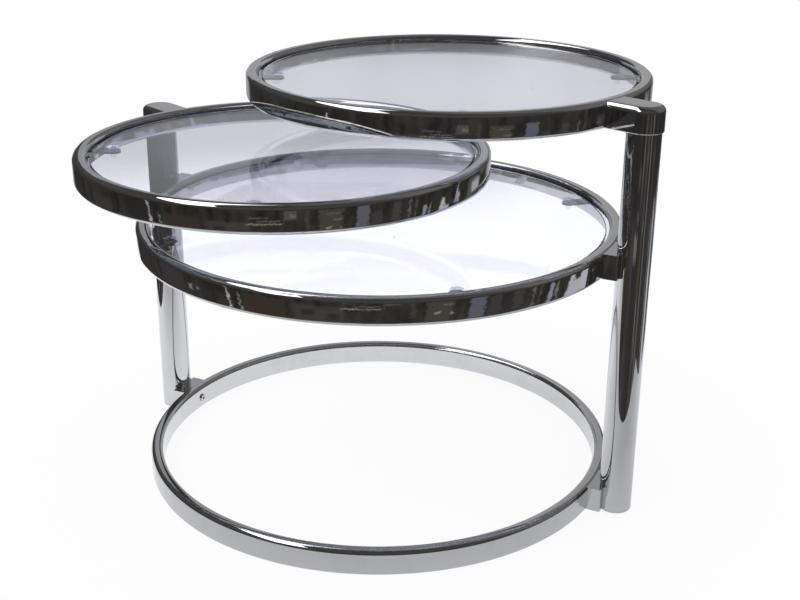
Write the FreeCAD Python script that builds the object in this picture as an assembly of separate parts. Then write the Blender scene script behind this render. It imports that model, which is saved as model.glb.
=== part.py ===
import FreeCAD, Part
import math
import os

os.makedirs("parts", exist_ok=True)

# Swivel table. A base ring and a glass shelf are fixed between two posts, and each post carries
# a smaller glass shelf that turns about the post's axis on a hub.
# All sizes are millimetres. The floor is z = 0, the base ring is centred on the Z axis, and the
# two posts stand on the X axis: the short left one at -X, the tall right one at +X.

# Overall sizes
frame_radius = 300.0         # outer radius of the base ring and the middle ring
lower_radius = 242.0         # outer radius of the lower turning ring
upper_radius = 250.0         # outer radius of the upper turning ring
middle_top = 335.0           # height of the middle ring's top
lower_gap = 70.0             # clear height between the middle ring and the lower turning ring
upper_gap = 37.0             # clear height between the two turning rings
lower_heading = -23.0        # degrees from +X: where the lower shelf points from its post
upper_heading = 163.0        # degrees from +X: where the upper shelf points from its post

# Ring tube: one rectangular tube with round corners, rolled into hoops
tube_height = 32.0
tube_width = 16.0
tube_wall = 1.5
tube_corner = 5.5
hoop_seam = 45.0             # degrees round a turning ring to its seam, away from the hub

# Posts
post_radius = 20.0
post_wall = 1.5
post_gap = 6.6               # clear gap between a fixed ring and a post
foot_rim = 4.0               # height of the foot below the tube's end
foot_corner = 2.5
foot_to_nut = 1.0            # clearance above the foot's spigot

# Spacer blocks between the fixed rings and the posts
spacer_width = 49.0
spacer_reach = 15.0          # how far a block stands out from the ring, round the post's near side
spacer_inset = 1.0           # how far a block stays below the ring's top and above its bottom
spacer_corner = 2.0          # rounding of the upright edges beside the post

# Screws from inside the rings
screw_radius = 2.5
screw_head_radius = 5.3
screw_head_height = 2.8
screw_head_corner = 1.0
screw_socket_radius = 2.2
screw_socket_depth = 1.6
screw_clearance = 0.4        # round a shank where it passes through a hole
nut_radius = 6.0
nut_length = 8.0
nut_tip_gap = 1.0            # from a screw's tip to the far face of its nut

# Swivel hubs
hub_overhang = 2.0           # how far the hub stands out from the post
hub_gap = 14.0               # between the hub's round and the turning ring
hub_corner = 7.0
hub_lower_corner = 1.2
hub_drop = 0.6               # hub's top below the ring's top
hub_rise = 1.4               # hub's underside above the ring's underside
hub_screw_depth = 14.0       # how far the screw's hole goes into the arm

# Spindle and bushes inside a post's top
spindle_radius = 8.0
spindle_seat = 20.0          # depth of the spindle in the hub
spindle_chamfer = 1.0
spindle_tail = 4.0           # below the retaining ring
flange_thickness = 1.0       # of the top bush, between hub and post
flange_inset = 0.3           # flange's radius below the post's
top_bush_length = 30.0
bush_spacing = 12.0
lower_bush_length = 12.0
washer_radius = 14.0
washer_thickness = 1.0
retainer_radius = 11.0
retainer_thickness = 1.2
groove_depth = 1.0
end_play = 0.3               # between the lower bush and the washer

# Fits
running_clearance = 0.05     # radial, spindle in its bushes
locating_clearance = 0.05    # radial, where one piece is seated in another

# Glass shelves, their pads and the lugs that carry them
glass_thickness = 6.0
glass_recess = 5.8           # glass top below the ring's top
glass_clearance = 3.3        # from the glass edge to the ring's inner wall
glass_edge = 1.0             # rounding of the ground edge
pad_count = 4
pad_radius = 8.0
pad_thickness = 4.5
pad_corner = 0.8
pad_stem_radius = 3.0
pad_stem_length = 9.0
pad_reach = 22.0             # from the ring's inner wall to a pad's centre
lug_thickness = 2.5
lug_radius = 9.0             # half of a lug's width and its round end
lug_hole_clearance = 0.2

# One overrun for everything that cuts right through
overrun = 5.0

# Sizes that follow
lower_top = middle_top + lower_gap + tube_height     # the lower turning ring's top
upper_top = lower_top + upper_gap + tube_height      # the upper turning ring's top
hub_radius = post_radius + hub_overhang
hub_to_ring = hub_gap + hub_radius       # from the post's axis to the turning ring
post_x = frame_radius + post_gap + post_radius
bore_radius = post_radius - post_wall
pad_angles = [180.0 / pad_count + 360.0 * i / pad_count for i in range(pad_count)]

X_AXIS = FreeCAD.Vector(1, 0, 0)
Z_AXIS = FreeCAD.Vector(0, 0, 1)
ORIGIN = FreeCAD.Vector(0, 0, 0)


def point(x, y, z):
    return FreeCAD.Vector(x, y, z)


def rod(radius, bottom, length, x=0.0, y=0.0):
    """An upright cylinder that starts at height bottom."""
    return Part.makeCylinder(radius, length, point(x, y, bottom), Z_AXIS)


def rod_along_x(radius, start, length, z):
    """A cylinder that runs in +X from x = start."""
    return Part.makeCylinder(radius, length, point(start, 0, z), X_AXIS)


def polar(radius, degrees, x=0.0, y=0.0):
    angle = math.radians(degrees)
    return x + radius * math.cos(angle), y + radius * math.sin(angle)


def edges_at_height(solid, z):
    """The edges that lie in the level plane at z."""
    flat = solid.optimalBoundingBox(True, False).DiagonalLength * 1e-6
    return [e for e in solid.Edges
            if abs(e.BoundBox.ZMin - z) < flat and abs(e.BoundBox.ZMax - z) < flat]


def turn_about_z(shape, degrees, x=0.0):
    """A copy turned about the Z axis, then moved to x."""
    turned = shape.copy()
    turned.rotate(ORIGIN, Z_AXIS, degrees)
    turned.translate(point(x, 0, 0))
    return turned


def save(node, shape):
    shape.exportStep(os.path.join("parts", node + ".step"))


# Ring tube

def corner_arc(x, z, start, radius):
    """A quarter circle in the XZ plane round (x, z), from the angle start."""
    points = []
    for angle in (start, start + 45.0, start + 90.0):
        px, pz = polar(radius, angle, x, z)
        points.append(point(px, 0, pz))
    return Part.Arc(*points)


def rounded_hoop(outer_radius, bottom, width, height, corner):
    """A rectangle with round corners, turned about Z into a hoop."""
    left = outer_radius - width + corner
    right = outer_radius - corner
    low = bottom + corner
    high = bottom + height - corner
    corners = ((right, low, -90.0), (right, high, 0.0), (left, high, 90.0), (left, low, 180.0))
    arcs = [corner_arc(x, z, start, corner) for x, z, start in corners]
    edges = []
    for arc, following in zip(arcs, arcs[1:] + arcs[:1]):
        edges.append(arc.toShape())
        edges.append(Part.LineSegment(arc.EndPoint, following.StartPoint).toShape())
    return Part.Face(Part.Wire(edges)).revolve(ORIGIN, Z_AXIS, 360.0)


def hoop_outside(outer_radius, top):
    """The ring tube's outer shape, filled."""
    return rounded_hoop(outer_radius, top - tube_height, tube_width, tube_height, tube_corner)


def ring_tube(outer_radius, top, screw_angles):
    """The hollow ring, with a hole through both walls at each screw."""
    hollow = rounded_hoop(outer_radius - tube_wall, top - tube_height + tube_wall,
                          tube_width - 2 * tube_wall, tube_height - 2 * tube_wall,
                          tube_corner - tube_wall)
    ring = hoop_outside(outer_radius, top).cut(hollow)
    start = outer_radius - tube_width - overrun
    hole = rod_along_x(screw_radius + screw_clearance, start, tube_width + 2 * overrun,
                       top - tube_height / 2)
    for angle in screw_angles:
        ring = ring.cut(turn_about_z(hole, angle))
    return ring


# Screws

def ring_screw(outer_radius, top, tip):
    """A socket screw along +X: head on the ring's inner wall, tip at x = tip."""
    seat = outer_radius - tube_width
    # The wall curves towards the head's rim, so the head backs off by that much
    seat -= seat - math.sqrt(seat ** 2 - screw_head_radius ** 2)
    z = top - tube_height / 2
    head = rod_along_x(screw_head_radius, seat - screw_head_height, screw_head_height, z)
    rim = [e for e in head.Edges if len(e.Vertexes) == 1 and e.BoundBox.XMax < seat - screw_head_height / 2]
    head = head.makeFillet(screw_head_corner, rim)
    shank = rod_along_x(screw_radius, seat, tip - seat, z)
    socket_points = []
    for i in range(7):
        y, dz = polar(screw_socket_radius, 60.0 * i)
        socket_points.append(point(seat - screw_head_height - overrun, y, z + dz))
    socket = Part.Face(Part.makePolygon(socket_points))
    socket = socket.extrude(X_AXIS * (overrun + screw_socket_depth))
    return head.fuse(shank).removeSplitter().cut(socket)


# Posts

def post_tube(top):
    outside = rod(post_radius, foot_rim, top - foot_rim, post_x)
    tube = outside.cut(rod(bore_radius, foot_rim - overrun, top - foot_rim + 2 * overrun, post_x))
    for ring_top in (tube_height, middle_top):
        z = ring_top - tube_height / 2
        reach = post_gap + overrun
        hole = rod_along_x(screw_radius + screw_clearance, frame_radius, reach + post_wall, z)
        tube = tube.cut(hole)
    return tube


def post_foot():
    """A plug: a rim of the tube's size stands on the floor, a spigot goes up inside."""
    rim = rod(post_radius, 0.0, foot_rim, post_x)
    rim = rim.makeFillet(foot_corner, edges_at_height(rim, 0.0))
    spigot_top = tube_height / 2 - nut_radius - foot_to_nut
    spigot = rod(bore_radius - locating_clearance, foot_rim, spigot_top - foot_rim, post_x)
    return rim.fuse(spigot).removeSplitter()


def spacer_block(top):
    """A block shaped to the ring on one side and to the post on the other."""
    height = tube_height - 2 * spacer_inset
    start = frame_radius - tube_width / 2
    end = frame_radius + spacer_reach
    block = Part.makeBox(end - start, spacer_width, height,
                         point(start, -spacer_width / 2, top - tube_height + spacer_inset))
    upright = [e for e in block.Edges
               if e.BoundBox.XMin > frame_radius and e.BoundBox.ZLength > height / 2]
    block = block.makeFillet(spacer_corner, upright)
    block = block.cut(hoop_outside(frame_radius, top))
    block = block.cut(rod(post_radius, top - tube_height - overrun, tube_height + 2 * overrun, post_x))
    hole = rod_along_x(screw_radius + screw_clearance, start, post_x - start, top - tube_height / 2)
    return block.cut(hole)


def post_nut(top):
    """A round nut inside the post, shaped to its wall."""
    z = top - tube_height / 2
    wall_x = post_x - bore_radius
    nut = rod_along_x(nut_radius, wall_x - overrun, overrun + nut_length, z)
    inside = rod(bore_radius, z - nut_radius - overrun, 2 * nut_radius + 2 * overrun, post_x)
    nut = nut.common(inside)
    thread = rod_along_x(screw_radius + locating_clearance, wall_x - overrun, 2 * overrun + nut_length, z)
    return nut.cut(thread)


# Bushes and spindle, hung from the height of the hub's underside

def top_bush(hub_bottom):
    """Sleeve in the tube's mouth with a thin flange that the hub turns on."""
    flange = rod(post_radius - flange_inset, hub_bottom - flange_thickness, flange_thickness)
    sleeve_bottom = hub_bottom - flange_thickness - top_bush_length
    sleeve = rod(bore_radius - locating_clearance, sleeve_bottom, top_bush_length)
    bore = rod(spindle_radius + running_clearance, sleeve_bottom - overrun,
               top_bush_length + flange_thickness + 2 * overrun)
    return flange.fuse(sleeve).removeSplitter().cut(bore)


def lower_bush_bottom(hub_bottom):
    return hub_bottom - flange_thickness - top_bush_length - bush_spacing - lower_bush_length


def lower_bush(hub_bottom):
    bottom = lower_bush_bottom(hub_bottom)
    sleeve = rod(bore_radius - locating_clearance, bottom, lower_bush_length)
    return sleeve.cut(rod(spindle_radius + running_clearance, bottom - overrun,
                          lower_bush_length + 2 * overrun))


def spindle(hub_bottom):
    groove_top = lower_bush_bottom(hub_bottom) - end_play - washer_thickness
    bottom = groove_top - retainer_thickness - spindle_tail
    pin = rod(spindle_radius, bottom, hub_bottom + spindle_seat - bottom)
    ends = edges_at_height(pin, bottom) + edges_at_height(pin, hub_bottom + spindle_seat)
    pin = pin.makeChamfer(spindle_chamfer, ends)
    groove = rod(spindle_radius + overrun, groove_top - retainer_thickness, retainer_thickness)
    core = rod(spindle_radius - groove_depth, groove_top - retainer_thickness, retainer_thickness)
    return pin.cut(groove.cut(core))


def spindle_washer(hub_bottom):
    bottom = lower_bush_bottom(hub_bottom) - end_play - washer_thickness
    disc = rod(washer_radius, bottom, washer_thickness)
    return disc.cut(rod(spindle_radius + locating_clearance, bottom - overrun,
                        washer_thickness + 2 * overrun))


def retaining_ring(hub_bottom):
    """An open snap ring in the spindle's groove."""
    bottom = lower_bush_bottom(hub_bottom) - end_play - washer_thickness - retainer_thickness
    inner = spindle_radius - groove_depth + locating_clearance
    disc = rod(retainer_radius, bottom, retainer_thickness)
    disc = disc.cut(rod(inner, bottom - overrun, retainer_thickness + 2 * overrun))
    gap = Part.makeBox(retainer_radius + overrun, inner, retainer_thickness + 2 * overrun,
                       point(0, -inner / 2, bottom - overrun))
    return disc.cut(gap)


# Hub, with the post's axis on Z and the turning ring on its +X side

def hub_plan():
    """The hub's outline: a round over the post and an arm of the same width that runs into the ring."""
    inside_x = hub_to_ring + tube_width / 2
    left, right = point(0, hub_radius, 0), point(0, -hub_radius, 0)
    inner_left, inner_right = point(inside_x, hub_radius, 0), point(inside_x, -hub_radius, 0)
    curves = [Part.Arc(left, point(-hub_radius, 0, 0), right), Part.LineSegment(right, inner_right),
              Part.LineSegment(inner_right, inner_left), Part.LineSegment(inner_left, left)]
    return Part.Face(Part.Wire([curve.toShape() for curve in curves]))


def hub_underside(top):
    return top - tube_height + hub_rise


def hub(ring_radius, top):
    bottom = hub_underside(top)
    height = top - hub_drop - bottom
    plan = hub_plan()
    plan.translate(point(0, 0, bottom))
    body = plan.extrude(Z_AXIS * height)
    for corner, z in ((hub_corner, bottom + height), (hub_lower_corner, bottom)):
        rim = [e for e in edges_at_height(body, z) if e.BoundBox.XMin < hub_to_ring]
        body = body.makeFillet(corner, rim)
    ring = turn_about_z(hoop_outside(ring_radius, top), hoop_seam, hub_to_ring + ring_radius)
    body = body.cut(ring)
    body = body.cut(rod(spindle_radius + locating_clearance, bottom - overrun, overrun + spindle_seat))
    hole = rod_along_x(screw_radius + locating_clearance, hub_to_ring - hub_screw_depth,
                       hub_screw_depth + overrun, top - tube_height / 2)
    return body.cut(hole)


def hub_screw(ring_radius, top):
    """From inside the turning ring into the arm: pointed at -X, towards the post."""
    tip = ring_radius + hub_screw_depth - nut_tip_gap
    screw = ring_screw(ring_radius, top, tip)
    return turn_about_z(screw, 180.0, hub_to_ring + ring_radius)


# Glass, pads and lugs, round the ring's own centre

def glass_disc(outer_radius, top):
    radius = outer_radius - tube_width - glass_clearance
    glass_top = top - glass_recess
    disc = rod(radius, glass_top - glass_thickness, glass_thickness)
    rims = edges_at_height(disc, glass_top) + edges_at_height(disc, glass_top - glass_thickness)
    return disc.makeFillet(glass_edge, rims)


def pad_lug(outer_radius, top):
    """A strip from the ring's inner wall with a round end and a hole for the pad's stem."""
    wall = outer_radius - tube_width
    centre = wall - pad_reach
    bottom = top - glass_recess - glass_thickness - pad_thickness - lug_thickness
    strip = Part.makeBox(pad_reach + tube_width / 2, 2 * lug_radius, lug_thickness,
                         point(centre, -lug_radius, bottom))
    strip = strip.fuse(rod(lug_radius, bottom, lug_thickness, centre)).removeSplitter()
    strip = strip.common(rod(wall, bottom - overrun, lug_thickness + 2 * overrun))
    return strip.cut(rod(pad_stem_radius + lug_hole_clearance, bottom - overrun,
                         lug_thickness + 2 * overrun, centre))


def glass_pad(outer_radius, top):
    """A clear mushroom: a disc under the glass and a stem through the lug."""
    centre = outer_radius - tube_width - pad_reach
    bottom = top - glass_recess - glass_thickness - pad_thickness
    disc = rod(pad_radius, bottom, pad_thickness, centre)
    disc = disc.makeFillet(pad_corner, edges_at_height(disc, bottom + pad_thickness))
    stem = rod(pad_stem_radius, bottom - pad_stem_length, pad_stem_length, centre)
    stem = stem.makeFillet(pad_corner, edges_at_height(stem, bottom - pad_stem_length))
    return disc.fuse(stem).removeSplitter()


def around(shape, angles):
    return Part.makeCompound([turn_about_z(shape, angle) for angle in angles])


def shelf(outer_radius, top):
    """The pieces that lie inside a ring."""
    return {
        "glass": glass_disc(outer_radius, top),
        "pad_lugs": around(pad_lug(outer_radius, top), pad_angles),
        "glass_pads": around(glass_pad(outer_radius, top), pad_angles),
    }


# Fixed frame

def save_frame():
    save("base_ring", ring_tube(frame_radius, tube_height, (0.0, 180.0)))
    save("middle_ring", ring_tube(frame_radius, middle_top, (0.0, 180.0)))
    for name, shape in shelf(frame_radius, middle_top).items():
        save("middle_" + name, shape)

    for level, top in (("base", tube_height), ("middle", middle_top)):
        block = spacer_block(top)
        save(level + "_right_spacer", block)
        save(level + "_left_spacer", turn_about_z(block, 180.0))

    for side, angle, hub_top in (("right", 0.0, upper_top), ("left", 180.0, lower_top)):
        hub_bottom = hub_underside(hub_top)
        save(side + "_post", turn_about_z(post_tube(hub_bottom - flange_thickness), angle))
        save(side + "_post_foot", turn_about_z(post_foot(), angle))
        for name, bush in (("top_bush", top_bush(hub_bottom)), ("lower_bush", lower_bush(hub_bottom))):
            placed = turn_about_z(bush, 0.0, post_x)
            save(side + "_" + name, turn_about_z(placed, angle))

    tip = post_x - bore_radius + nut_length - nut_tip_gap
    screws = []
    nuts = []
    for top in (tube_height, middle_top):
        for angle in (0.0, 180.0):
            screws.append(turn_about_z(ring_screw(frame_radius, top, tip), angle))
            nuts.append(turn_about_z(post_nut(top), angle))
    save("frame_screws", Part.makeCompound(screws))
    save("post_nuts", Part.makeCompound(nuts))


# Turning shelves

def save_swivel(name, ring_radius, top, heading, x):
    """One turning shelf, made round the Z axis, turned to its heading and put on its post."""
    hub_bottom = hub_underside(top)
    ring = ring_tube(ring_radius, top, (180.0,))
    pieces = {"ring": ring}
    pieces.update(shelf(ring_radius, top))
    for shape in pieces.values():
        shape.translate(point(hub_to_ring + ring_radius, 0, 0))
    pieces["hub"] = hub(ring_radius, top)
    pieces["hub_screw"] = hub_screw(ring_radius, top)
    pieces["spindle"] = spindle(hub_bottom)
    pieces["spindle_washer"] = spindle_washer(hub_bottom)
    pieces["retaining_ring"] = retaining_ring(hub_bottom)
    for piece, shape in pieces.items():
        save(name + "_" + piece, turn_about_z(shape, heading, x))


save_frame()
save_swivel("lower", lower_radius, lower_top, lower_heading, -post_x)
save_swivel("upper", upper_radius, upper_top, upper_heading, post_x)
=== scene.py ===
import math

import bmesh
import bpy
from mathutils import Matrix, Quaternion, Vector


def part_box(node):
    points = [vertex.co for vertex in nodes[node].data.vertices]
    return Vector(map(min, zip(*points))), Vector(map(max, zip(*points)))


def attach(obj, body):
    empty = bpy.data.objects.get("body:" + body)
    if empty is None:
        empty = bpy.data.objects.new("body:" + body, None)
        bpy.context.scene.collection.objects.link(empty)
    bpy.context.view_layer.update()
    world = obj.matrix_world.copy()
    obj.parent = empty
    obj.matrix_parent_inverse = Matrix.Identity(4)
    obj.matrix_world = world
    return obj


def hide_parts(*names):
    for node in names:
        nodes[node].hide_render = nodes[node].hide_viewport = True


# Swivel table: chromed tube hoops and posts with three clear glass shelves, two of which turn.
# Everything is in metres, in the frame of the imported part.

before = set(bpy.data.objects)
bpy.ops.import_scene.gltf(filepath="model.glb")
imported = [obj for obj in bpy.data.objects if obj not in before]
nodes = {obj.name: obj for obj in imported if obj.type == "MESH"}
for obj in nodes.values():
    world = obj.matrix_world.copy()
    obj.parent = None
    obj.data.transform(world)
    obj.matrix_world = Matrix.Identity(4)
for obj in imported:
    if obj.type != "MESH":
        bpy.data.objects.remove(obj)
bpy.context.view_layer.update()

white = (1.0, 1.0, 1.0, 1.0)
degrees_in_a_radian = 57.2958
radians_in_a_degree = 0.0174533


def leave_nothing_selected():
    if bpy.context.object and bpy.context.object.mode != "OBJECT":
        bpy.ops.object.mode_set(mode="OBJECT")
    bpy.ops.object.select_all(action="DESELECT")


# Node helpers

def start_material(name):
    made = bpy.data.materials.new(name)
    made.use_nodes = True
    made.node_tree.nodes.clear()
    return made, made.node_tree


def set_socket(tree, socket, value):
    """A socket given as the value is linked, and anything else becomes the socket's own value."""
    if isinstance(value, bpy.types.NodeSocket):
        tree.links.new(value, socket)
    else:
        socket.default_value = value


def node(tree, kind, **inputs):
    """A node with its sockets set by name."""
    made = tree.nodes.new(kind)
    for key, value in inputs.items():
        set_socket(tree, made.inputs[key.replace("_", " ")], value)
    return made


def math_of(tree, operation, first, second=0.0):
    made = tree.nodes.new("ShaderNodeMath")
    made.operation = operation
    set_socket(tree, made.inputs[0], first)
    set_socket(tree, made.inputs[1], second)
    return made.outputs[0]


def plus(tree, first, second):
    return math_of(tree, "ADD", first, second)


def minus(tree, first, second):
    return math_of(tree, "SUBTRACT", first, second)


def times(tree, first, second):
    return math_of(tree, "MULTIPLY", first, second)


def larger(tree, first, second):
    return math_of(tree, "MAXIMUM", first, second)


def size_of(tree, value):
    return math_of(tree, "ABSOLUTE", value)


def spread(tree, value, low, high, to_low, to_high, smooth=False):
    """Value from low..high brought to to_low..to_high and held there."""
    made = tree.nodes.new("ShaderNodeMapRange")
    made.interpolation_type = "SMOOTHSTEP" if smooth else "LINEAR"
    for socket, given in zip(made.inputs, (value, low, high, to_low, to_high)):
        set_socket(tree, socket, given)
    return made.outputs[0]


def slope(tree, value, low, high, to_low, to_high):
    """The same with an eased start and end."""
    return spread(tree, value, low, high, to_low, to_high, smooth=True)


def from_noise(tree, value, to_low, to_high):
    """A noise value, which lies mostly between 0.3 and 0.7, brought to a range."""
    return spread(tree, value, 0.3, 0.7, to_low, to_high)


def choose(tree, share, first, second):
    """The first number at share 0 and the second at share 1."""
    made = node(tree, "ShaderNodeMix")
    set_socket(tree, made.inputs[0], share)
    set_socket(tree, made.inputs[2], first)
    set_socket(tree, made.inputs[3], second)
    return made.outputs[0]


def blend_colours(tree, share, first, second, kind="MIX"):
    made = tree.nodes.new("ShaderNodeMix")
    made.data_type = "RGBA"
    made.blend_type = kind
    made.clamp_factor = True
    set_socket(tree, made.inputs[0], share)
    set_socket(tree, made.inputs[6], first)
    set_socket(tree, made.inputs[7], second)
    return made.outputs[2]


def times_grey(tree, colour, level):
    """The colour times one number."""
    grey = node(tree, "ShaderNodeCombineColor", Red=level, Green=level, Blue=level).outputs[0]
    return blend_colours(tree, 1.0, colour, grey, "MULTIPLY")


def ramp(tree, value, stops):
    """A colour by a value from 0 to 1, between the stops given as place and colour."""
    made = tree.nodes.new("ShaderNodeValToRGB")
    elements = made.color_ramp.elements
    while len(elements) < len(stops):
        elements.new(0.5)
    for element, (place, colour) in zip(elements, stops):
        element.position = place
        element.color = (*colour, 1.0)
    set_socket(tree, made.inputs[0], value)
    return made.outputs[0]


def noise(tree, place, scale, detail=2.0, roughness=0.5):
    made = node(tree, "ShaderNodeTexNoise", Scale=scale, Detail=detail, Roughness=roughness)
    tree.links.new(place, made.inputs["Vector"])
    return made.outputs[0]


def object_place(tree):
    return tree.nodes.new("ShaderNodeTexCoord").outputs["Object"]


def stretched(tree, place, scale, turn=(0.0, 0.0, 0.0)):
    made = tree.nodes.new("ShaderNodeMapping")
    made.inputs["Rotation"].default_value = turn
    made.inputs["Scale"].default_value = scale
    tree.links.new(place, made.inputs["Vector"])
    return made.outputs[0]


def parts_of(tree, vector):
    return node(tree, "ShaderNodeSeparateXYZ", Vector=vector).outputs


def flatness(tree):
    """1 on faces that lie level, facing up or down, and 0 on upright ones."""
    normal = tree.nodes.new("ShaderNodeNewGeometry").outputs["Normal"]
    return size_of(tree, parts_of(tree, normal)[2])


def principled(tree, **inputs):
    return node(tree, "ShaderNodeBsdfPrincipled", **inputs).outputs[0]


def see_through(tree, colour=white):
    return node(tree, "ShaderNodeBsdfTransparent", Color=colour).outputs[0]


def emission(tree, colour, strength):
    return node(tree, "ShaderNodeEmission", Color=colour, Strength=strength).outputs[0]


def mix_shaders(tree, share, first, second):
    made = node(tree, "ShaderNodeMixShader", Fac=share)
    tree.links.new(first, made.inputs[1])
    tree.links.new(second, made.inputs[2])
    return made.outputs[0]


def finish_material(tree, shader, volume=None):
    out = tree.nodes.new("ShaderNodeOutputMaterial")
    tree.links.new(shader, out.inputs["Surface"])
    if volume is not None:
        tree.links.new(volume, out.inputs["Volume"])


def new_group(name, numbers, numbers_out, vectors_out=()):
    """A shader node group with number inputs (name, default) and the outputs named."""
    group = bpy.data.node_groups.new(name, "ShaderNodeTree")
    for label, value in numbers:
        socket = group.interface.new_socket(name=label, in_out="INPUT",
                                            socket_type="NodeSocketFloat")
        socket.default_value = value
    for labels, kind in ((numbers_out, "NodeSocketFloat"), (vectors_out, "NodeSocketVector")):
        for label in labels:
            group.interface.new_socket(name=label, in_out="OUTPUT", socket_type=kind)
    return group, group.nodes.new("NodeGroupInput"), group.nodes.new("NodeGroupOutput")


def place_group(tree, group, **numbers):
    made = tree.nodes.new("ShaderNodeGroup")
    made.node_tree = group
    for label, value in numbers.items():
        made.inputs[label.replace("_", " ")].default_value = value
    return made


# Surface effects, each a group. A scale is in grains per metre.

wave_scale, line_scale, haze_scale = 8.0, 190.0, 21.0
wave_stretch, line_stretch = (1.0, 1.0, 1.7), (1.0, 1.0, 14.0)
haze_from, haze_to = 0.46, 0.74        # the noise values where haze starts and is full
pick_scale, smear_scale = 17.0, 2.2
smear_stretch, smear_turn = (3.0, 14.0, 1.0), (0.0, 0.0, 0.6)
smear_from, smear_to = 0.5, 0.85


def make_polish_group():
    """Polished and plated metal: slow waves from rolling, fine polishing lines and hazy patches."""
    group, given, out = new_group(
        "polish",
        (("Wave height", 0.0006), ("Line height", 0.000004), ("Least roughness", 0.015),
         ("Most roughness", 0.07)),
        numbers_out=("Roughness", "Haze"), vectors_out=("Normal",))
    given = given.outputs
    place = object_place(group)
    waves = noise(group, stretched(group, place, wave_stretch), wave_scale, 1.5)
    wave_bump = node(group, "ShaderNodeBump", Strength=1.0, Height=waves,
                     Distance=given["Wave height"])
    lines = noise(group, stretched(group, place, line_stretch), line_scale, 3.0, 0.6)
    line_bump = node(group, "ShaderNodeBump", Strength=1.0, Height=lines,
                     Distance=given["Line height"], Normal=wave_bump.outputs[0])
    haze = slope(group, noise(group, place, haze_scale, 4.0, 0.62), haze_from, haze_to, 0.0, 1.0)
    room = minus(group, given["Most roughness"], given["Least roughness"])
    rough = plus(group, given["Least roughness"], times(group, room, haze))
    group.links.new(rough, out.inputs["Roughness"])
    group.links.new(haze, out.inputs["Haze"])
    group.links.new(line_bump.outputs[0], out.inputs["Normal"])
    return group


def make_dust_group():
    """A few small specks and wiped smears, as on a shelf that has stood a while."""
    group, given, out = new_group(
        "dust", (("Speck spacing", 0.05), ("Speck size", 0.0008)),
        numbers_out=("Specks", "Smears"))
    given = given.outputs
    place = object_place(group)
    cells = group.nodes.new("ShaderNodeTexVoronoi")
    cells.voronoi_dimensions = "2D"
    group.links.new(place, cells.inputs["Vector"])
    group.links.new(math_of(group, "DIVIDE", 1.0, given["Speck spacing"]), cells.inputs["Scale"])
    away = times(group, cells.outputs["Distance"], given["Speck spacing"])
    # most places keep a speck so small that it doesn't show
    pick = spread(group, noise(group, place, pick_scale, 0.0), 0.45, 0.7, 0.15, 1.0)
    specks = math_of(group, "LESS_THAN", away, times(group, given["Speck size"], pick))
    wiped = stretched(group, place, smear_stretch, turn=smear_turn)
    smears = noise(group, wiped, smear_scale, 5.0, 0.65)
    smears = slope(group, smears, smear_from, smear_to, 0.0, 1.0)
    group.links.new(specks, out.inputs["Specks"])
    group.links.new(smears, out.inputs["Smears"])
    return group


polish = make_polish_group()
dust = make_dust_group()


# Materials of the table

chrome_tint = (0.60, 0.602, 0.606)
cast_tint = (0.58, 0.582, 0.588)
haze_dulling = 0.93                # of chrome's tint in its hazy patches
steel_tint, steel_haze_tint = (0.56, 0.56, 0.57), (0.44, 0.43, 0.42)
speck_tint = (0.25, 0.22, 0.20, 1.0)
glass_face_tint = (0.985, 0.987, 1.0, 1.0)
glass_edge_tints = (0.13, 0.13, 0.27, 1.0), (0.20, 0.20, 0.38, 1.0)
glass_depth_tint, glass_density = (0.58, 0.61, 0.93, 1.0), 12.0
vinyl_tints = (0.80, 0.82, 0.88, 1.0), (0.66, 0.68, 0.76, 1.0)
vinyl_clear_tint = (0.982, 0.985, 0.995, 1.0)
nylon_tint, soiled_nylon_tint = (0.15, 0.14, 0.13, 1.0), (0.10, 0.093, 0.085, 1.0)
glass_index, vinyl_index = 1.5, 1.4
edge_grain_scale = 700.0
vinyl_cloud_scale, vinyl_grain_scale, vinyl_grain_height = 260.0, 900.0, 0.00003
nylon_ring_scale, nylon_ring_height, nylon_soil_scale = 30.0, 0.00002, 70.0
nylon_ring_stretch = (1.0, 1.0, 60.0)
smeared_roughness = 0.018          # of the glass


def plated_metal(name, tint, haze_tint, **finish_values):
    made, tree = start_material(name)
    finish = place_group(tree, polish, **finish_values).outputs
    colour = blend_colours(tree, finish["Haze"], (*tint, 1.0), (*haze_tint, 1.0))
    finish_material(tree, principled(tree, Base_Color=colour, Metallic=1.0,
                                     Roughness=finish["Roughness"], Normal=finish["Normal"]))
    return made


def chrome_plate(name, tint, wave, least, most):
    hazy = tuple(haze_dulling * c for c in tint)
    return plated_metal(name, tint, hazy, Wave_height=wave, Least_roughness=least,
                        Most_roughness=most)


def clear_glass():
    """Clear sheet with a few specks and smears, and a ground edge that is duller and bluer."""
    made, tree = start_material("clear_glass")
    marks = place_group(tree, dust, Speck_spacing=0.085, Speck_size=0.0011).outputs
    sheet = principled(tree, Metallic=0.0, Transmission_Weight=1.0, IOR=glass_index,
                       Base_Color=blend_colours(tree, marks["Specks"], glass_face_tint, speck_tint),
                       Roughness=spread(tree, marks["Smears"], 0.0, 1.0, 0.0, smeared_roughness))
    grain = noise(tree, object_place(tree), edge_grain_scale)
    ground = principled(tree, Metallic=0.0,
                        Base_Color=blend_colours(tree, grain, *glass_edge_tints),
                        Roughness=from_noise(tree, grain, 0.3, 0.5))
    edge = slope(tree, flatness(tree), 0.5, 0.9, 0.75, 0.0)
    depth = node(tree, "ShaderNodeVolumeAbsorption", Color=glass_depth_tint, Density=glass_density)
    finish_material(tree, mix_shaders(tree, edge, sheet, ground), depth.outputs[0])
    return made


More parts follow.
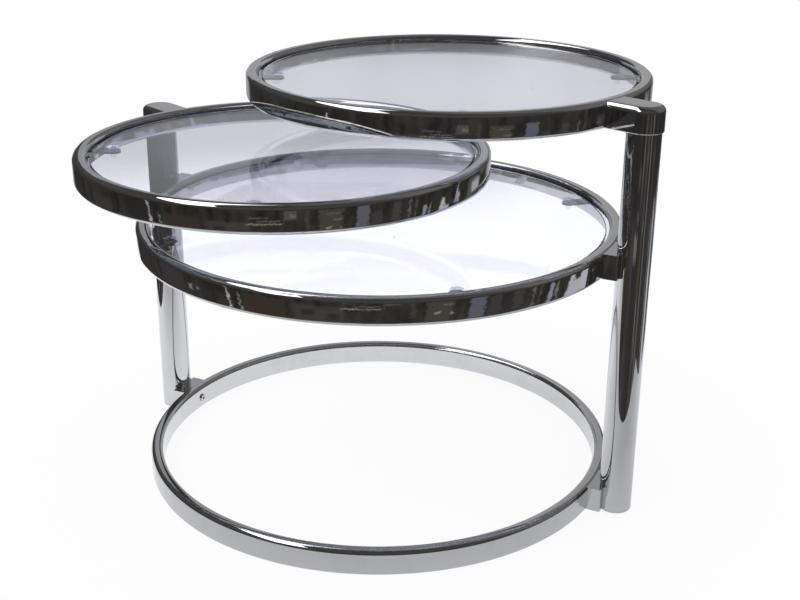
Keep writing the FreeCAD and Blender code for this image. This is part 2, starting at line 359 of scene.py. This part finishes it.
def clear_vinyl():
    """Clear soft plastic: plain from above, where it lies against the glass, with a milky rim."""
    made, tree = start_material("clear_vinyl")
    place = object_place(tree)
    cloud = noise(tree, place, vinyl_cloud_scale, 3.0, 0.6)
    bump = node(tree, "ShaderNodeBump", Strength=1.0, Distance=vinyl_grain_height,
                Height=noise(tree, place, vinyl_grain_scale))
    colour = blend_colours(tree, from_noise(tree, cloud, 0.0, 1.0), *vinyl_tints)
    milky = principled(tree, Base_Color=colour, Roughness=from_noise(tree, cloud, 0.16, 0.3),
                       Metallic=0.0, Transmission_Weight=0.6, IOR=vinyl_index,
                       Normal=bump.outputs[0])
    share = slope(tree, flatness(tree), 0.7, 0.95, 0.86, 0.95)
    finish_material(tree, mix_shaders(tree, share, milky, see_through(tree, vinyl_clear_tint)))
    return made


def turned_nylon():
    made, tree = start_material("turned_nylon")
    place = object_place(tree)
    rings = noise(tree, stretched(tree, place, nylon_ring_stretch), nylon_ring_scale)
    bump = node(tree, "ShaderNodeBump", Strength=1.0, Distance=nylon_ring_height, Height=rings)
    soil = spread(tree, noise(tree, place, nylon_soil_scale, 3.0), 0.45, 0.75, 0.0, 1.0)
    finish_material(tree, principled(tree, Roughness=from_noise(tree, rings, 0.38, 0.52),
                                     Base_Color=blend_colours(tree, soil, nylon_tint,
                                                              soiled_nylon_tint),
                                     Normal=bump.outputs[0]))
    return made


hoop_chrome = chrome_plate("hoop_chrome", chrome_tint, wave=0.0006, least=0.012, most=0.05)
post_chrome = chrome_plate("post_chrome", chrome_tint, wave=0.0003, least=0.012, most=0.05)
cast_chrome = chrome_plate("cast_chrome", cast_tint, wave=0.0004, least=0.02, most=0.08)
glass = clear_glass()
vinyl = clear_vinyl()
nylon = turned_nylon()
steel = plated_metal("plated_steel", steel_tint, steel_haze_tint, Wave_height=0.00002,
                     Line_height=0.00003, Least_roughness=0.14, Most_roughness=0.3)


def material_for(name):
    """The material of a solid, by the piece it is."""
    if name.endswith("_ring") and "retaining" not in name:
        return hoop_chrome
    for endings, material in (("_post", post_chrome), ("_glass", glass), ("_glass_pads", vinyl),
                              (("_hub", "_spacer", "_post_foot", "_pad_lugs"), cast_chrome),
                              ("_bush", nylon)):
        if name.endswith(endings):
            return material
    return steel


for name in nodes:
    slots = nodes[name].data.materials
    for i in range(len(slots)):
        slots[i] = material_for(name)


# Ring tubes with a finer curve than the solids' own facets

tube_width = 0.016
tube_corner = 0.0055
tube_bulge = 0.0008       # of the inner wall, from rolling the tube into a hoop
corner_steps, hoop_steps = 8, 180
nearness = 0.0001         # a point this near to the inner wall's middle is that middle
weld_distance = 0.00002


def tube_hoop(name, ring):
    """The rectangular tube's outside, turned once round the centre of its ring."""
    low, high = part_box(ring)
    height = high.z - low.z
    radius = (high.x - low.x) / 2
    middle = (low + high) / 2
    leave_nothing_selected()
    bpy.ops.mesh.primitive_plane_add(
        size=1.0, location=(middle.x + radius - tube_width / 2, middle.y, middle.z),
        rotation=(math.pi / 2, 0, 0))
    hoop = bpy.context.object
    hoop.name = name
    hoop.scale = (tube_width, height, 1.0)
    bpy.ops.object.transform_apply(location=True, rotation=True, scale=True)
    bpy.ops.object.mode_set(mode="EDIT")
    bpy.ops.mesh.select_all(action="SELECT")
    bpy.ops.mesh.bevel(offset=tube_corner, offset_type="OFFSET", segments=corner_steps,
                       profile=0.5, affect="VERTICES")
    bpy.ops.mesh.select_all(action="SELECT")
    bpy.ops.mesh.delete(type="ONLY_FACE")
    bpy.ops.mesh.select_all(action="SELECT")
    bpy.ops.mesh.subdivide(number_cuts=1)
    # the middle of the inner wall comes out a little
    bpy.ops.mesh.select_all(action="DESELECT")
    profile = bmesh.from_edit_mesh(hoop.data)
    for vertex in profile.verts:
        inside = abs(vertex.co.x - (middle.x + radius - tube_width)) < nearness
        vertex.select = inside and abs(vertex.co.z - middle.z) < nearness
    profile.select_flush_mode()
    bmesh.update_edit_mesh(hoop.data)
    bpy.ops.transform.translate(value=(-tube_bulge, 0, 0))
    bpy.ops.mesh.select_all(action="SELECT")
    bpy.ops.mesh.spin(steps=hoop_steps, angle=2 * math.pi, center=(middle.x, middle.y, 0),
                      axis=(0, 0, 1))
    bpy.ops.mesh.select_all(action="SELECT")
    bpy.ops.mesh.remove_doubles(threshold=weld_distance)
    bpy.ops.mesh.normals_make_consistent(inside=False)
    bpy.ops.object.mode_set(mode="OBJECT")
    bpy.ops.object.shade_smooth()
    hoop.data.materials.append(hoop_chrome)
    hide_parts(ring)
    return hoop


for place in ("base", "middle", "lower", "upper"):
    hoop = tube_hoop(place + "_hoop", place + "_ring")
    if place in ("lower", "upper"):
        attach(hoop, place + "_shelf")
    else:
        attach(hoop, "frame")


# Studio

# The metal mirrors a strip of pale paper that lies under the table and rises behind it. Across and
# along are measured from the table's centre, across to the right and along towards the camera.
strip_heading = math.radians(25.6)     # of across, from +X
strip_left, strip_right = -0.70, 0.72
strip_front, strip_back = 0.41, -1.2
backdrop_top = 0.842                   # the lowest part of its top edge
right_rise, right_rise_reach = 0.10, (0.0, 0.25)       # of the top edge, and where across
left_rise, left_rise_reach = 0.06, (-0.46, -0.30)
backdrop_spare = 0.13                  # of the screen above its top edge's lowest part
edge_softness = 0.006
backdrop_folds = (0.86, 1.12)          # the least and most light on them
backdrop_shade = 0.45                  # taken away by the table's shade, in its middle
shade_across, shade_up = 0.03, 0.60    # its middle
shade_half_width, shade_half_height = (0.12, 0.34), (0.05, 0.13)       # full, and where it ends
eye_height = 0.35
room_radius = 7.0
floor_radius, floor_drop = 14.0, 0.0003
floor_shadow, floor_shadow_reach = 0.07, (0.34, 0.75)
# light of the floor as mirrors see it, by place, and as it shows through the glass, by distance
along_reach, along_light = (-0.08, 0.33), (1.10, 0.68)
across_reach, across_light = (0.06, 0.36), (1.0, 0.84)
near_reach, near_light = (1.15, 1.70), (1.40, 0.85)
far_reach, far_light = (1.8, 2.3), (0.0, 0.12)
paper_tint = (0.88, 0.88, 0.89, 1.0)
paper_glow = (0.96, 0.965, 1.0, 1.0)   # in mirrors and through glass
behind_glass_tint = (0.955, 0.96, 1.045, 1.0)
cloth_tone, cloth_share = (0.50, 0.51, 0.55, 1.0), 0.9


def in_a_mirror(tree, path):
    """1 for what is seen by reflection, also where glass lies in front of it, and 0 otherwise."""
    return math_of(tree, "MINIMUM", path.outputs["Glossy Depth"], 1.0)


def glass_tint(tree, path, colour):
    """What the metal mirrors is bluer where glass lies in front of it."""
    behind_glass = math_of(tree, "MINIMUM", path.outputs["Transmission Depth"], 1.0)
    share = times(tree, behind_glass, in_a_mirror(tree, path))
    return blend_colours(tree, share, colour, behind_glass_tint, "MULTIPLY")


def reaches_the_camera(tree, path):
    """1 for all that reaches the camera in any way, and 0 for light that falls on other things."""
    through = larger(tree, path.outputs["Is Camera Ray"], path.outputs["Is Transmission Ray"])
    return larger(tree, through, path.outputs["Is Glossy Ray"])


def paper_floor():
    """White to the camera with the table's faint shadow. Mirrors see it only near the table."""
    leave_nothing_selected()
    bpy.ops.mesh.primitive_circle_add(vertices=96, radius=floor_radius, fill_type="NGON",
                                      location=(0, 0, -floor_drop))
    floor = bpy.context.object
    floor.name = "paper_floor"
    made, tree = start_material("white_paper")
    path = tree.nodes.new("ShaderNodeLightPath")
    mirrored = in_a_mirror(tree, path)
    place = object_place(tree)
    length = node(tree, "ShaderNodeVectorMath", Vector=place)
    length.operation = "LENGTH"
    away = length.outputs["Value"]
    turned = stretched(tree, place, (1.0, 1.0, 1.0), turn=(0.0, 0.0, -strip_heading))
    across, behind, _ = parts_of(tree, turned)
    along = times(tree, behind, -1.0)
    shadow = times(tree, floor_shadow, slope(tree, away, *floor_shadow_reach, 1.0, 0.0))
    share = times(tree, reaches_the_camera(tree, path), minus(tree, 1.0, shadow))
    # through the glass the near paper is brightest, and mirrors see it dimmer towards the camera
    glazed = times(tree, path.outputs["Is Transmission Ray"], minus(tree, 1.0, mirrored))
    glow = blend_colours(tree, larger(tree, mirrored, glazed), white, paper_glow)
    fading = times(tree, spread(tree, along, *along_reach, *along_light),
                   slope(tree, across, *across_reach, *across_light))
    beneath = plus(tree, slope(tree, away, *near_reach, *near_light),
                   slope(tree, away, *far_reach, *far_light))
    lit = choose(tree, glazed, choose(tree, mirrored, 1.0, fading), beneath)
    paper = node(tree, "ShaderNodeBsdfDiffuse", Color=paper_tint).outputs[0]
    sheet = mix_shaders(tree, share, paper, emission(tree, glass_tint(tree, path, glow), lit))
    # beside and in front of the strip mirrors look past the paper into the room
    beyond = larger(tree, math_of(tree, "GREATER_THAN", across, strip_right),
                    math_of(tree, "LESS_THAN", across, strip_left))
    beyond = larger(tree, beyond, math_of(tree, "GREATER_THAN", along, strip_front))
    finish_material(tree, mix_shaders(tree, times(tree, beyond, mirrored), sheet,
                                      see_through(tree)))
    floor.data.materials.append(made)


def mirrored_light(tree, colour, strength=1.0, share=1.0):
    """Light that only mirrors see: clear to every other look, also through glass."""
    path = tree.nodes.new("ShaderNodeLightPath")
    light = emission(tree, glass_tint(tree, path, colour), strength)
    return mix_shaders(tree, times(tree, share, in_a_mirror(tree, path)), see_through(tree), light)


def only_mirrored(thing):
    """Seen in mirrors only: not by the camera nor as a shadow."""
    thing.visible_camera = False
    thing.visible_diffuse = False
    thing.visible_shadow = False
    thing.visible_volume_scatter = False


def make_patch_group():
    """A soft-edged patch of the room: all angles in degrees, turn from +X and rise from level."""
    group, given, out = new_group(
        "room_patch",
        (("Turn", 0.0), ("Rise", 0.0), ("Middle", 0.0), ("Half width", 5.0), ("Low", -20.0),
         ("High", -10.0), ("Soft", 0.5)),
        numbers_out=("Mask",))
    given = given.outputs
    aside = group.nodes.new("ShaderNodeMath")
    aside.operation = "WRAP"
    set_socket(group, aside.inputs[0], minus(group, given["Turn"], given["Middle"]))
    aside.inputs[1].default_value = 180.0
    aside.inputs[2].default_value = -180.0

    def edge(value, limit, before, after):
        near = minus(group, limit, given["Soft"])
        far = plus(group, limit, given["Soft"])
        return slope(group, value, near, far, before, after)

    mask = edge(size_of(group, aside.outputs[0]), given["Half width"], 1.0, 0.0)
    mask = times(group, mask, edge(given["Rise"], given["Low"], 0.0, 1.0))
    mask = times(group, mask, edge(given["Rise"], given["High"], 1.0, 0.0))
    group.links.new(mask, out.inputs["Mask"])
    return group


# Things that stand round the set, by direction in degrees: middle, half width, low, high, softness
# of the edges, and tone
room_things = (
    (178.0, 24.0, -8.0, 16.0, 5.0, (0.050, 0.050, 0.052)),
    (-171.0, 9.0, -27.0, -15.0, 1.5, (0.058, 0.056, 0.052)),
    (-157.5, 1.3, -21.6, -19.6, 0.5, (0.30, 0.30, 0.32)),
    (-153.5, 0.9, -21.0, -19.9, 0.4, (0.22, 0.22, 0.24)),
    (-142.5, 6.5, -19.0, -4.0, 0.8, (0.034, 0.032, 0.028)),
    (-134.0, 0.35, -30.0, -9.0, 0.3, (0.85, 0.85, 0.82)),
    (-128.0, 0.25, -27.0, -16.5, 0.3, (0.45, 0.44, 0.40)),
    (-113.0, 11.0, -31.0, -16.0, 0.9, (0.062, 0.047, 0.034)),
    (-104.0, 1.0, -27.0, -15.0, 0.4, (0.040, 0.036, 0.036)),
    (-90.0, 11.0, -31.0, -17.5, 0.9, (0.075, 0.068, 0.066)),
    (-95.0, 3.2, -23.5, -20.0, 0.7, (0.045, 0.038, 0.036)),
    (-84.0, 2.5, -26.0, -22.0, 0.6, (0.050, 0.042, 0.044)),
    (-71.0, 9.0, -18.7, -18.2, 0.2, (0.34, 0.34, 0.32)),
    (-69.0, 6.0, -16.9, -16.5, 0.2, (0.26, 0.26, 0.25)),
    (-74.0, 5.0, -15.2, -14.4, 0.3, (0.12, 0.12, 0.12)),
    (-58.0, 3.0, -16.0, -10.5, 0.6, (0.115, 0.105, 0.100)),
    (-57.0, 1.2, -14.5, -12.5, 0.4, (0.21, 0.19, 0.18)),
    (-49.0, 1.0, -24.0, -9.0, 0.5, (0.075, 0.070, 0.066)),
    (-37.0, 6.0, -30.0, -11.0, 0.7, (0.090, 0.080, 0.058)),
    (-38.0, 1.1, -22.6, -21.2, 0.4, (0.34, 0.34, 0.32)),
    (-31.0, 0.8, -23.6, -22.2, 0.4, (0.36, 0.36, 0.36)),
    (-36.0, 4.0, -13.6, -13.1, 0.2, (0.20, 0.19, 0.17)),
    (-33.0, 3.0, -17.4, -16.6, 0.3, (0.17, 0.16, 0.14)),
    (-29.0, 1.0, -20.5, -11.5, 0.3, (0.040, 0.036, 0.032)),
    (-19.5, 3.6, -28.0, -10.0, 0.4, (0.150, 0.155, 0.190)),
    (-11.0, 3.0, -30.0, -15.0, 0.6, (0.070, 0.062, 0.062)),
    (0.5, 2.5, -25.0, -12.0, 0.8, (0.082, 0.072, 0.064)),
    (8.5, 0.5, -26.0, -11.0, 0.4, (0.17, 0.17, 0.18)),
    (13.0, 0.35, -24.0, -12.0, 0.3, (0.13, 0.13, 0.13)),
    (19.5, 1.4, -26.0, -16.4, 0.5, (0.34, 0.36, 0.44)),
    (23.5, 0.6, -25.0, -15.8, 0.3, (0.24, 0.24, 0.26)),
    (39.5, 8.5, -27.0, -15.6, 0.8, (0.62, 0.62, 0.69)),
    (37.0, 2.3, -18.6, -14.0, 0.6, (0.050, 0.048, 0.046)),
    (62.0, 5.0, -30.0, -13.0, 2.0, (0.13, 0.13, 0.14)),
    (67.0, 5.0, -17.5, -14.2, 1.0, (0.50, 0.50, 0.52)),
    (76.0, 4.0, -13.0, -9.0, 1.5, (0.24, 0.24, 0.25)),
    (86.0, 5.0, -24.0, -17.0, 2.5, (0.16, 0.16, 0.17)),
)

# The room's tone by degrees above level
room_levels = (
    (-70, (0.85, 0.86, 0.90)), (-48, (0.62, 0.63, 0.66)), (-38, (0.20, 0.195, 0.19)),
    (-31, (0.056, 0.052, 0.044)), (-14, (0.038, 0.036, 0.029)), (-3, (0.046, 0.044, 0.037)),
    (5, (0.070, 0.069, 0.064)), (18, (0.086, 0.085, 0.080)), (34, (0.098, 0.097, 0.093)),
    (50, (0.082, 0.081, 0.079)), (80, (0.072, 0.071, 0.070)))

light_side = 62.0                      # the direction in which the room's upper part is lightest
lean_reach, lean_light = (0.35, 0.75), (0.85, 2.0)     # by the cosine of the angle from there
upper_reach, dark_reach = (-4.0, 8.0), (-5.0, 3.0)     # degrees above level
wobble_scale, wobble_degrees = 1.4, 1.6
ragged_scale, ragged_degrees = 5.0, 1.5
strip_turn_scale, strip_rise_scale = 0.22, 0.05        # of the dark part's unevenness, per degree
unevenness = (0.55, 1.5)
cloth_patch = (115.0, 28.0, -60.0, 2.0, 6.0)           # the pale cloth behind the set


def room_tones():
    """The room that mirrors see: tone by direction, dim in front of the set and pale behind it."""
    patch = make_patch_group()
    made, tree = start_material("dim_room")
    place = object_place(tree)
    x, y, z = parts_of(tree, place)
    level_way = math_of(tree, "SQRT", plus(tree, times(tree, x, x), times(tree, y, y)))
    wobble = spread(tree, noise(tree, place, wobble_scale, 3.0, 0.6), 0.0, 1.0,
                    -wobble_degrees, wobble_degrees)
    ragged = spread(tree, noise(tree, place, ragged_scale, 2.0, 0.6), 0.2, 0.8,
                    -ragged_degrees, ragged_degrees)
    turn = times(tree, math_of(tree, "ARCTAN2", y, x), degrees_in_a_radian)
    turn = plus(tree, turn, plus(tree, wobble, ragged))
    rise = times(tree, math_of(tree, "ARCTAN2", z, level_way), degrees_in_a_radian)
    rise = plus(tree, rise, times(tree, ragged, 0.5))
    stops = [((degrees + 90.0) / 180.0, tone) for degrees, tone in room_levels]
    tones = ramp(tree, spread(tree, rise, -90.0, 90.0, 0.0, 1.0), stops)
    # the upper part is lighter on the right of the set than on its left and behind the camera
    aside = times(tree, minus(tree, turn, light_side), radians_in_a_degree)
    lean = slope(tree, math_of(tree, "COSINE", aside), *lean_reach, *lean_light)
    upper = slope(tree, rise, *upper_reach, 0.0, 1.0)
    tones = times_grey(tree, tones, plus(tree, times(tree, upper, minus(tree, lean, 1.0)), 1.0))
    # faint unevenness of the dark part, in upright and level strips
    strips = node(tree, "ShaderNodeCombineXYZ", X=times(tree, turn, strip_turn_scale),
                  Y=times(tree, rise, strip_rise_scale)).outputs[0]
    low = slope(tree, rise, *dark_reach, 1.0, 0.0)
    uneven = from_noise(tree, noise(tree, strips, 1.0, 3.0, 0.6), *unevenness)
    tones = times_grey(tree, tones, plus(tree, times(tree, low, uneven), minus(tree, 1.0, low)))

    def patch_mask(middle, half, bottom, top, soft):
        made = place_group(tree, patch, Middle=middle, Half_width=half, Low=bottom, High=top,
                           Soft=soft)
        tree.links.new(turn, made.inputs["Turn"])
        tree.links.new(rise, made.inputs["Rise"])
        return made.outputs[0]

    cloth = times(tree, patch_mask(*cloth_patch), cloth_share)
    tones = blend_colours(tree, cloth, tones, cloth_tone)
    for middle, half, bottom, top, soft, tone in room_things:
        mask = patch_mask(middle, half, bottom, top, soft)
        tones = blend_colours(tree, mask, tones, (*tone, 1.0))
    finish_material(tree, mirrored_light(tree, tones))
    return made


def dim_room():
    tones = room_tones()
    leave_nothing_selected()
    bpy.ops.mesh.primitive_uv_sphere_add(segments=64, ring_count=32, radius=room_radius,
                                         location=(0, 0, eye_height))
    room = bpy.context.object
    room.name = "dim_room"
    room.data.materials.append(tones)
    only_mirrored(room)


# The backdrop's tone from its left end, 0, to its right end, 1
backdrop_tones = (
    (0.0, (0.38, 0.383, 0.40)), (0.28, (0.41, 0.413, 0.43)), (0.52, (0.46, 0.463, 0.48)),
    (0.70, (0.50, 0.50, 0.508)), (0.84, (0.45, 0.45, 0.455)), (1.0, (0.42, 0.42, 0.425)))


def pale_backdrop():
    """The end of the paper strip that rises behind the table, with the dark room above its top."""
    leave_nothing_selected()
    width, height = strip_right - strip_left, backdrop_top + backdrop_spare
    bpy.ops.mesh.primitive_plane_add(size=1.0)
    screen = bpy.context.object
    screen.name = "pale_backdrop"
    screen.matrix_world = (
        Matrix.Rotation(strip_heading, 4, "Z")
        @ Matrix.Translation(((strip_left + strip_right) / 2, -strip_back, height / 2))
        @ Matrix.Rotation(math.pi / 2, 4, "X") @ Matrix.Diagonal((width, height, 1.0, 1.0)))
    made, tree = start_material("backdrop_paper")
    place = object_place(tree)
    x, y, _ = parts_of(tree, place)
    across = spread(tree, x, -0.5, 0.5, strip_left, strip_right)
    up = spread(tree, y, -0.5, 0.5, 0.0, height)
    tones = ramp(tree, plus(tree, x, 0.5), backdrop_tones)
    folds = from_noise(tree, noise(tree, stretched(tree, place, (7.0, 1.6, 1.0)), 1.0),
                       *backdrop_folds)
    # the table's own soft shade on the screen
    aside = size_of(tree, minus(tree, across, shade_across))
    off_middle = size_of(tree, minus(tree, up, shade_up))
    dim = times(tree, slope(tree, aside, *shade_half_width, 1.0, 0.0),
                slope(tree, off_middle, *shade_half_height, 1.0, 0.0))
    light = times(tree, folds, minus(tree, 1.0, times(tree, dim, backdrop_shade)))
    # the top edge is higher on the right and at the left end
    top = plus(tree, slope(tree, across, *right_rise_reach, backdrop_top,
                           backdrop_top + right_rise),
               slope(tree, across, *left_rise_reach, left_rise, 0.0))
    there = slope(tree, minus(tree, up, top), -edge_softness, edge_softness, 1.0, 0.0)
    finish_material(tree, mirrored_light(tree, tones, light, there))
    screen.data.materials.append(made)
    only_mirrored(screen)


def softbox(name, heading, rise, away, width, height, roll, strength):
    """A lit panel that faces the table, seen in the chrome as a highlight."""
    leave_nothing_selected()
    a, e = math.radians(heading), math.radians(rise)
    aim = Vector((math.cos(a) * math.cos(e), math.sin(a) * math.cos(e), math.sin(e)))
    bpy.ops.mesh.primitive_plane_add(size=1.0, location=aim * away + Vector((0, 0, eye_height)))
    panel = bpy.context.object
    panel.name = name
    panel.scale = (width, height, 1.0)
    panel.rotation_mode = "QUATERNION"
    panel.rotation_quaternion = (aim.to_track_quat("Z", "Y")
                                 @ Quaternion((0, 0, 1), math.radians(roll)))
    made, tree = start_material(name + "_cloth")
    finish_material(tree, mirrored_light(tree, white, strength))
    panel.data.materials.append(made)
    only_mirrored(panel)


world_light, world_through_glass = 0.75, 0.96


def white_world():
    """White to the camera, a little less so through glass, and dimmer as light on things."""
    world = bpy.data.worlds.new("white_world")
    world.use_nodes = True
    tree = world.node_tree
    tree.nodes.clear()
    path = tree.nodes.new("ShaderNodeLightPath")
    strength = spread(tree, reaches_the_camera(tree, path), 0.0, 1.0, world_light, 1.0)
    strength = choose(tree, path.outputs["Is Transmission Ray"], strength, world_through_glass)
    background = node(tree, "ShaderNodeBackground", Color=white, Strength=strength)
    out = tree.nodes.new("ShaderNodeOutputWorld")
    tree.links.new(background.outputs[0], out.inputs["Surface"])
    bpy.context.scene.world = world


lamp_place, lamp_aim = (-1.3, -1.6, 2.4), (0, 0, 0.25)
lamp_width, lamp_height = 1.4, 1.0
lamp_watts = 26.0


def key_lamp():
    data = bpy.data.lights.new("key_lamp", "AREA")
    data.shape = "RECTANGLE"
    data.size, data.size_y = lamp_width, lamp_height
    data.energy = lamp_watts
    lamp = bpy.data.objects.new("key_lamp", data)
    bpy.context.scene.collection.objects.link(lamp)
    lamp.location = lamp_place
    lamp.rotation_mode = "QUATERNION"
    lamp.rotation_quaternion = (lamp.location - Vector(lamp_aim)).to_track_quat("Z", "Y")
    lamp.visible_glossy = False
    lamp.visible_transmission = False


# The photograph's camera, worked out from the outlines of the two fixed rings and the posts
camera_place = (0.6735, -1.3430, 0.8069)
camera_heading, camera_dip, camera_roll = 25.63, 21.45, 0.49      # in degrees
camera_sensor, camera_lens = 36.0, 56.57                          # in millimetres


def main_camera():
    data = bpy.data.cameras.new("main_camera")
    data.sensor_width = camera_sensor
    data.lens = camera_lens
    data.clip_start, data.clip_end = 0.05, 60.0
    camera = bpy.data.objects.new("main_camera", data)
    bpy.context.scene.collection.objects.link(camera)
    camera.matrix_world = (Matrix.Translation(camera_place)
                           @ Matrix.Rotation(math.radians(camera_heading), 4, "Z")
                           @ Matrix.Rotation(math.radians(90.0 - camera_dip), 4, "X")
                           @ Matrix.Rotation(math.radians(camera_roll), 4, "Z"))
    bpy.context.scene.camera = camera


paper_floor()
dim_room()
pale_backdrop()
softbox("main_softbox", heading=-153.0, rise=60.0, away=2.9, width=5.0, height=1.0, roll=-21.0,
        strength=3.0)
white_world()
key_lamp()
main_camera()
bpy.context.scene.view_settings.view_transform = "Standard"
